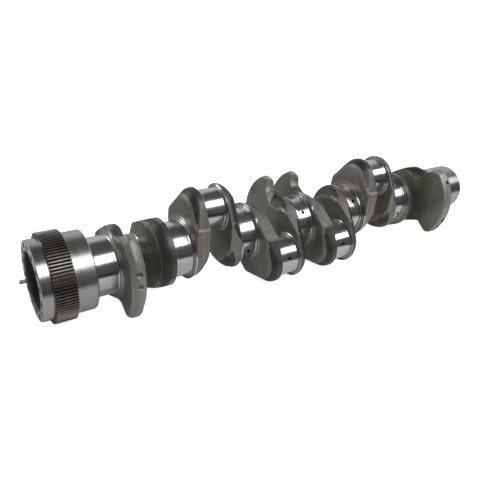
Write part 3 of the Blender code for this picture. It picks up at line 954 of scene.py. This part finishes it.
class CrankColours(bpy.types.PropertyGroup):
    ground: colour("Ground steel", (0.74, 0.73, 0.735), "Main journals and crankpins")
    collar: colour("Collar steel", (0.24, 0.228, 0.215), "Collars beside the journals and crankpins")
    turned: colour("Turned steel", (0.56, 0.555, 0.545), "Flange, seal ring and nose")
    gear: colour("Gear", (0.090, 0.079, 0.067), "Flanks and faces of the gear ring")
    # gear_tip: worn tips lightened further as a painted highlight
    gear_tip: colour("Gear tips", (0.34, 0.315, 0.285), "Worn tips of the gear's teeth")
    # drilling: painted shade on the walls of the oil holes
    drilling: colour("Oil drilling", (0.022, 0.021, 0.020), "Walls of the oil holes")
    # recess: oiled steel darkened as painted shade inside the recess and its bolt holes
    recess: colour("Recess steel", (0.130, 0.125, 0.108), "Inside of the flange and of its bolt holes")
    dowel: colour("Dowel", (0.50, 0.50, 0.49), "Flywheel dowel")
    # heat tint on webs 2 and 11; on web 1 it also paints the shade of its set-back face
    face: colour("Web face", (0.245, 0.236, 0.208), "Forged faces of the webs")
    heated: colour("Heat tint and shade web face", (0.220, 0.210, 0.168), "Faces of the two webs darkened by hardening")
    # slope: forged colour darkened as painted shade on the web slopes
    slope: colour("Web slope shade", (0.064, 0.062, 0.057), "Slopes round the ends of the webs")
    rim: colour("Web rim", (0.112, 0.110, 0.106), "Rims of the plain webs")
    counterweight: colour("Counterweight rim", (0.360, 0.349, 0.322), "Rims of the counterweights")
    flank: colour("Web flank", (0.270, 0.258, 0.232), "Milled flanks of the webs")
    cheek: colour("Turned cheek", (0.260, 0.240, 0.225), "Turned ring on a web round its main journal")
    # edge: worn edges with a painted highlight
    edge: colour("Worn edge", (0.38, 0.37, 0.35), "Bright edges of the webs")
    floor: colour("Floor", (0.86, 0.86, 0.86), "Studio floor")


# ---------------------------------------------------------------- operators

def journal_profile(half, radius, collar, ring, fillet):
    """Half-symmetric journal: a thin ring against the web, a collar, a fillet and the ground width."""
    end = half + OVERLAP
    ring_face = half - RING_STEP
    collar_face = half - COLLAR_STEP
    left = [
        (-end, 0.0),
        (-end, ring),
        (-ring_face - CHAMFER, ring),
        (-ring_face, ring - CHAMFER),
        (-ring_face, collar + CHAMFER),
        (-ring_face + CHAMFER, collar),
        (-collar_face - CHAMFER, collar),
        (-collar_face, collar - CHAMFER),
    ]
    left += quarter(fillet - collar_face, radius + fillet, fillet, 180, 270)
    left += [(-BESIDE_HOLE, radius)]
    return left + [(-x, r) for x, r in reversed(left)]


def dress_journal(piece, context):
    """Mirror finish on the ground width, a duller one on the collars beside it."""
    # The third slot is the painted shade of the oil holes, given to the hole walls by drill_inwards
    wear(piece, *(steel(context, name) for name in ("Ground steel", "Collar steel", "Oil drilling")))
    paint_faces(piece, COLLAR_SLOT, lambda face: abs(face.normal.x) > COLLAR_LIKE)


class CRANK_OT_main_journals(bpy.types.Operator):
    """Grind the seven main journals"""
    bl_idname = "crank.main_journals"
    bl_label = "Main journals"

    def execute(self, context):
        sizes = context.scene.crank_sizes
        radius = sizes.main_radius
        profile = journal_profile(MAIN_WIDTH / 2, radius, sizes.main_collar, MAIN_RING_R, sizes.fillet)
        half = len(profile) // 2
        at_seal = quarter(SEAL_FRONT - main_x(7) + SEAL_FILLET, radius + SEAL_FILLET, SEAL_FILLET, 180, 270)
        rear_end = at_seal[0][0] - OVERLAP
        front_end = NOSE_REAR - main_x(1) + OVERLAP
        at_seal = [(rear_end, 0.0), (rear_end, at_seal[0][1])] + at_seal
        middle = turn("journal", profile)
        rear = turn("journal_rear", at_seal + profile[half - 1:])
        front = turn("journal_front", profile[:half + 1] + [(front_end, radius), (front_end, 0.0)])
        for number in range(1, 8):
            piece = copy_of({1: front, 7: rear}.get(number, middle), f"journal_main_{number}")
            dress_journal(piece, context)
            centre = Vector((main_x(number), 0.0, 0.0))
            settle(piece, centre)
            out = spoke(radians(MAIN_OIL_PHASE[number]))
            drill_inwards(piece, centre + out * radius, out, sizes.oil_radius, OIL_DEPTH, DRILLING_SLOT)
            deliver(piece, f"main_journal_{number}")
        for pattern in (middle, rear, front):
            bpy.data.objects.remove(pattern)
        return {"FINISHED"}


class CRANK_OT_crankpins(bpy.types.Operator):
    """Grind the six crankpins"""
    bl_idname = "crank.crankpins"
    bl_label = "Crankpins"

    def execute(self, context):
        sizes = context.scene.crank_sizes
        radius = sizes.pin_radius
        profile = journal_profile(PIN_WIDTH / 2, radius, sizes.pin_collar, PIN_RING_R, sizes.fillet)
        pattern = turn("pin", profile)
        dress_journal(pattern, context)
        for number in range(1, 7):
            piece = copy_of(pattern, f"pin_{number}")
            phase = radians(PIN_PHASE[number])
            centre = spoke(phase, THROW, pin_x(number))
            settle(piece, centre)
            out = spoke(phase + radians(PIN_OIL_OFFSET))
            drill_inwards(piece, centre + out * radius, out, sizes.oil_radius, OIL_DEPTH, DRILLING_SLOT)
            deliver(piece, f"crankpin_{number}")
        bpy.data.objects.remove(pattern)
        return {"FINISHED"}


class CRANK_OT_plain_webs(bpy.types.Operator):
    """Forge the eight webs that have no counterweight"""
    bl_idname = "crank.plain_webs"
    bl_label = "Plain webs"

    def execute(self, context):
        for end_r, end_inset, numbers in (
            (WEB_END_R, REAR_END, (4, 8, 10)),
            (WEB_END_R, NOSE_END, (3, 5, 9)),
            (FRONT_WIDE_R, WIDE_END, (2,)),
            (REAR_WIDE_R, WIDE_END, (11,)),
        ):
            pattern = build_web("web", plain_outline(end_r), end_r, numbers[0] % 2 == 0, end_inset)
            wear(pattern, *web_materials(context, end_r > WEB_END_R)[:COUNTER])
            paint_web(pattern, False)
            for number in numbers:
                piece = copy_of(pattern, f"cheek_{number:02d}")
                place_web(piece, number)
                deliver(piece, f"web_{number:02d}")
            bpy.data.objects.remove(pattern)
        return {"FINISHED"}


class CRANK_OT_counterweights(bpy.types.Operator):
    """Forge the four webs that carry a counterweight"""
    bl_idname = "crank.counterweights"
    bl_label = "Counterweight webs"

    def execute(self, context):
        opposite, leaning, leaning_back = (-0.075, 0.0), (-0.0544, 0.0254), (-0.0544, -0.0254)
        rear_hump, front_hump = 0.0785, 0.0735
        for number, outline, end_inset, fin_centre, draft, rounding, holes in (
            (6, middle_outline(), REAR_END, opposite, MIDDLE_DRAFT, MIDDLE_ROUNDING, ()),
            (7, middle_outline(), NOSE_END, opposite, MIDDLE_DRAFT, MIDDLE_ROUNDING, ()),
            (12, end_outline(rear_hump), FLYWHEEL_END, leaning, REAR_DRAFT, REAR_ROUNDING, REAR_HOLES),
            (1, mirrored(end_outline(front_hump)), NOSE_END, leaning_back, FRONT_DRAFT, FRONT_ROUNDING,
             FRONT_HOLES),
        ):
            piece = build_web(f"cheek_{number:02d}", outline, WEB_END_R, number % 2 == 0, end_inset,
                              fin_centre, draft, rounding)
            wear(piece, *web_materials(context, number == 1))
            paint_web(piece, True)
            if number == 12:
                paint_faces(piece, COUNTER, is_blended)
            if number == 1:
                relieve(piece)
            # Web 1's balance holes get the dark slope colour as painted shade inside them; web 12's get the
            # bright edge colour, bright drilled steel with a painted highlight
            for angle, level, radius, depth in holes:
                out = spoke(radians(angle))
                start = out * COUNTER_R
                start.x = level
                drill_inwards(piece, start, out, radius, depth, WORN_HIGHLIT if number == 12 else SHADED_SLOPE)
            place_web(piece, number)
            deliver(piece, f"web_{number:02d}")
        return {"FINISHED"}


class CRANK_OT_flange(bpy.types.Operator):
    """Turn the flywheel flange and drill it"""
    bl_idname = "crank.flange"
    bl_label = "Flywheel flange"

    def execute(self, context):
        sizes = context.scene.crank_sizes
        floor_x = REAR_FACE + RECESS_DEPTH
        pilot_x = floor_x + PILOT_DEPTH
        profile = [
            (pilot_x + PILOT_POINT, 0.0),
            (pilot_x, PILOT_FLOOR_R),
            (pilot_x, PILOT_R),
            (floor_x + EDGE, PILOT_R),
            (floor_x, PILOT_R + EDGE),
        ]
        profile += quarter(floor_x - RECESS_FILLET, sizes.recess_radius - RECESS_FILLET, RECESS_FILLET, 0, 90)
        profile += [(REAR_FACE + depth, sizes.recess_radius + wider) for depth, wider in RECESS_MOUTH]
        profile += [
            (REAR_FACE, sizes.flange_radius - EDGE),
            (REAR_FACE + EDGE, sizes.flange_radius),
            (SEAL_REAR + OVERLAP, sizes.flange_radius - FLANGE_TAPER),
            (SEAL_REAR + OVERLAP, 0.0),
        ]
        piece = turn("flange", profile)
        wear(piece, steel(context, "Flange steel"), steel(context, "Recess steel"))
        first = DOWEL_PHASE + pi / FLANGE_BOLTS
        drill_circle(piece, REAR_FACE, sizes.bolt_circle, FLANGE_BOLTS, first, FLANGE_BOLT, 1)
        drill(piece, spoke(DOWEL_PHASE, sizes.bolt_circle, REAR_FACE), (1, 0, 0),
              sizes.dowel_radius + DOWEL_SLACK, DOWEL_BORE, sizes.dowel_radius + DOWEL_FLARE)
        wall = sizes.bolt_circle + BOLT_WALL
        # The inside of the recess and of the bolt and dowel holes gets the dark recess colour as painted
        # shade
        paint_faces(piece, RECESS_SLOT, lambda face: face.calc_center_median().yz.length < wall
                    and REAR_FACE + HOLE_WALL[0] < face.calc_center_median().x < SEAL_REAR)
        deliver(piece, "rear_flange")
        return {"FINISHED"}


class CRANK_OT_dowel(bpy.types.Operator):
    """Turn the dowel that places the flywheel"""
    bl_idname = "crank.dowel"
    bl_label = "Flywheel dowel"

    def execute(self, context):
        sizes = context.scene.crank_sizes
        radius = sizes.dowel_radius
        foot = REAR_FACE + DOWEL_IN + DOWEL_FOOT
        profile = [(DOWEL_END, 0.0)]
        profile += quarter(DOWEL_END + DOWEL_CROWN, radius - DOWEL_CROWN, DOWEL_CROWN, 180, 90)
        profile += [(REAR_FACE + DOWEL_IN, radius), (foot, radius - DOWEL_FOOT), (foot, 0.0)]
        piece = turn("dowel", profile, DOWEL_STEPS)
        settle(piece, spoke(DOWEL_PHASE, sizes.bolt_circle))
        wear(piece, steel(context, "Dowel steel"))
        deliver(piece, "flywheel_dowel_pin")
        return {"FINISHED"}


class CRANK_OT_gear(bpy.types.Operator):
    """Turn the gear ring and cut its teeth"""
    bl_idname = "crank.gear"
    bl_label = "Gear ring"

    def execute(self, context):
        sizes = context.scene.crank_sizes
        tip, root = sizes.gear_tip, sizes.gear_root
        bore = sizes.flange_radius - GEAR_FIT
        blank = turn("gear_ring", [
            (GEAR_REAR, bore + GEAR_CHAMFER),
            (GEAR_REAR, tip - GEAR_CHAMFER),
            (GEAR_REAR + GEAR_CHAMFER, tip),
            (GEAR_FRONT - GEAR_CHAMFER, tip),
            (GEAR_FRONT, tip - GEAR_CHAMFER),
            (GEAR_FRONT, bore + GEAR_CHAMFER),
            (GEAR_FRONT - GEAR_CHAMFER, bore),
            (GEAR_REAR + GEAR_CHAMFER, bore),
            (GEAR_REAR, bore + GEAR_CHAMFER),
        ], TEETH * 2)
        wear(blank, gear_steel(context))
        step = 2 * pi / TEETH
        half_gap = [(root + beyond, half) for beyond, half in GAP_AT_ROOT]
        half_gap += [(tip + beyond, half) for beyond, half in GAP_AT_TIP]
        section = [(r, -s) for r, s in reversed(half_gap)] + [(root, 0.0)] + half_gap
        cutter = begin("gap")
        trace([spoke(s * step + step / 2, r, GEAR_REAR - GAP_OVERRUN) for r, s in section])
        pull_out(GEAR_FRONT - GEAR_REAR + 2 * GAP_OVERRUN)
        close_up()
        ring_of_copies(cutter, TEETH)
        cut(blank, cutter)
        deliver(blank, "crank_gear", GEAR_SMOOTH)
        return {"FINISHED"}


class CRANK_OT_seal_ring(bpy.types.Operator):
    """Turn the ring that the rear oil seal runs on"""
    bl_idname = "crank.seal_ring"
    bl_label = "Rear seal ring"

    def execute(self, context):
        radius = context.scene.crank_sizes.seal_radius
        profile = [(SEAL_REAR, 0.0), (SEAL_REAR, radius - SEAL_EDGE), (SEAL_REAR + SEAL_EDGE, radius)]
        profile += [(SEAL_FRONT - depth, radius - step) for depth, step in SEAL_LEAD_IN]
        piece = turn("seal_ring", profile + [(SEAL_FRONT, 0.0)])
        wear(piece, steel(context, "Seal ring steel"))
        deliver(piece, "rear_seal_ring")
        return {"FINISHED"}


class CRANK_OT_nose(bpy.types.Operator):
    """Turn the nose and drill it"""
    bl_idname = "crank.nose"
    bl_label = "Nose"

    def execute(self, context):
        radius = context.scene.crank_sizes.main_radius
        profile = [(NOSE_REAR, 0.0)]
        profile += [(NOSE_REAR + depth, radius - step) for depth, step in NOSE_GROOVE]
        profile += [(NOSE_FACE - NOSE_EDGE, radius), (NOSE_FACE, radius - NOSE_EDGE)]
        profile += [(NOSE_FACE - depth, hole_r) for depth, hole_r in NOSE_CENTRE]
        piece = turn("nose", profile)
        wear(piece, steel(context, "Nose steel"))
        drill_circle(piece, NOSE_FACE, NOSE_CIRCLE_R, NOSE_BOLTS, 0.0, NOSE_BOLT, -1)
        deliver(piece, "front_nose")
        return {"FINISHED"}


class CRANK_OT_stage(bpy.types.Operator):
    """Set up the floor, the lights and the camera"""
    bl_idname = "crank.stage"
    bl_label = "Studio"

    def execute(self, context):
        self.floor(context)
        self.flag()
        self.lights()
        self.world(context)
        bpy.ops.object.camera_add(location=CAMERA_PLACE, rotation=[radians(turned) for turned in CAMERA_TURN])
        camera = context.object
        camera.name = "Camera"
        camera.data.lens = LENS
        camera.data.sensor_width = SENSOR
        camera.data.clip_end = CLIP_END
        context.scene.camera = camera
        context.scene.view_settings.view_transform = "Standard"
        return {"FINISHED"}

    def sheet(self, name, place, size, material):
        bpy.ops.mesh.primitive_plane_add(size=1.0, location=place)
        sheet = bpy.context.object
        sheet.name = name
        sheet.scale = (*size, 1.0)
        bpy.ops.object.transform_apply(location=True, rotation=True, scale=True)
        sheet.data.materials.append(material)
        return sheet

    def floor(self, context):
        """Pale floor, lifted to an even white where the camera sees it."""
        material = matte("Studio floor", context.scene.crank_colours.floor, 0.9)
        tree = material.node_tree
        shader = tree.nodes["Principled BSDF"]
        shader.inputs["Emission Color"].default_value = rgba(WHITE)
        seen = add(tree, "ShaderNodeLightPath").outputs["Is Camera Ray"]
        tree.links.new(times(tree, seen, FLOOR_GLOW), shader.inputs["Emission Strength"])
        bpy.ops.object.select_all(action="DESELECT")
        self.sheet("Floor", (0.0, 0.0, FLOOR_LEVEL), (FLOOR_SIZE, FLOOR_SIZE), material)

    def flag(self):
        """Dark sheet in front of the shaft that only shows as a reflection in it."""
        flag = self.sheet("Dark_flag", FLAG_PLACE, FLAG_SIZE, matte("Dark flag", FLAG_COLOUR, 1.0))
        flag.visible_camera = False
        flag.visible_diffuse = False
        flag.visible_shadow = False
        flag.visible_transmission = False

    def lights(self):
        for name, place, aim, size, power in LIGHTS:
            bpy.ops.object.light_add(type="AREA", location=place)
            light = bpy.context.object
            light.name = name
            light.rotation_euler = (Vector(aim) - Vector(place)).to_track_quat("-Z", "Y").to_euler()
            light.data.shape = "RECTANGLE"
            light.data.size, light.data.size_y = size
            light.data.energy = power

    def world(self, context):
        """Pale backdrop low down behind the shaft and a dark room elsewhere. The camera sees white."""
        world = bpy.data.worlds.new("Studio")
        context.scene.world = world
        world.use_nodes = True
        tree = world.node_tree
        look = add(tree, "ShaderNodeTexCoord").outputs["Generated"]
        split = add(tree, "ShaderNodeSeparateXYZ", {0: look}).outputs
        glow = times(tree, spread(tree, split["Y"], *BEHIND), spread(tree, split["Z"], *LOW, 1.0, 0.0))
        strength = spread(tree, glow, 0.0, 1.0, *ROOM)
        seen = add(tree, "ShaderNodeLightPath").outputs["Is Camera Ray"]
        background = tree.nodes["Background"]
        background.inputs["Color"].default_value = rgba(WHITE)
        tree.links.new(arithmetic(tree, "MAXIMUM", strength, seen), background.inputs["Strength"])


BUILDERS = (
    CRANK_OT_main_journals,
    CRANK_OT_crankpins,
    CRANK_OT_plain_webs,
    CRANK_OT_counterweights,
    CRANK_OT_flange,
    CRANK_OT_dowel,
    CRANK_OT_gear,
    CRANK_OT_seal_ring,
    CRANK_OT_nose,
    CRANK_OT_stage,
)


class CRANK_PT_panel(bpy.types.Panel):
    """Sizes, colours and build steps of the crankshaft"""
    bl_idname = "CRANK_PT_panel"
    bl_label = "Crankshaft"
    bl_space_type = "VIEW_3D"
    bl_region_type = "UI"
    bl_category = "Crankshaft"

    def draw(self, context):
        scene = context.scene
        for heading, owner in (("Sizes", scene.crank_sizes), ("Colours", scene.crank_colours)):
            box = self.layout.box()
            box.label(text=heading)
            for key in owner.__annotations__:
                box.prop(owner, key)
        for builder in BUILDERS:
            self.layout.operator(builder.bl_idname)


CLASSES = (CrankSizes, CrankColours) + BUILDERS + (CRANK_PT_panel,)


def register():
    for item in CLASSES:
        bpy.utils.register_class(item)
    bpy.types.Scene.crank_sizes = bpy.props.PointerProperty(type=CrankSizes)
    bpy.types.Scene.crank_colours = bpy.props.PointerProperty(type=CrankColours)


def unregister():
    del bpy.types.Scene.crank_colours
    del bpy.types.Scene.crank_sizes
    for item in reversed(CLASSES):
        bpy.utils.unregister_class(item)


def main():
    register()
    for builder in BUILDERS:
        family, step = builder.bl_idname.split(".")
        getattr(getattr(bpy.ops, family), step)()


if __name__ == "__main__":
    main()
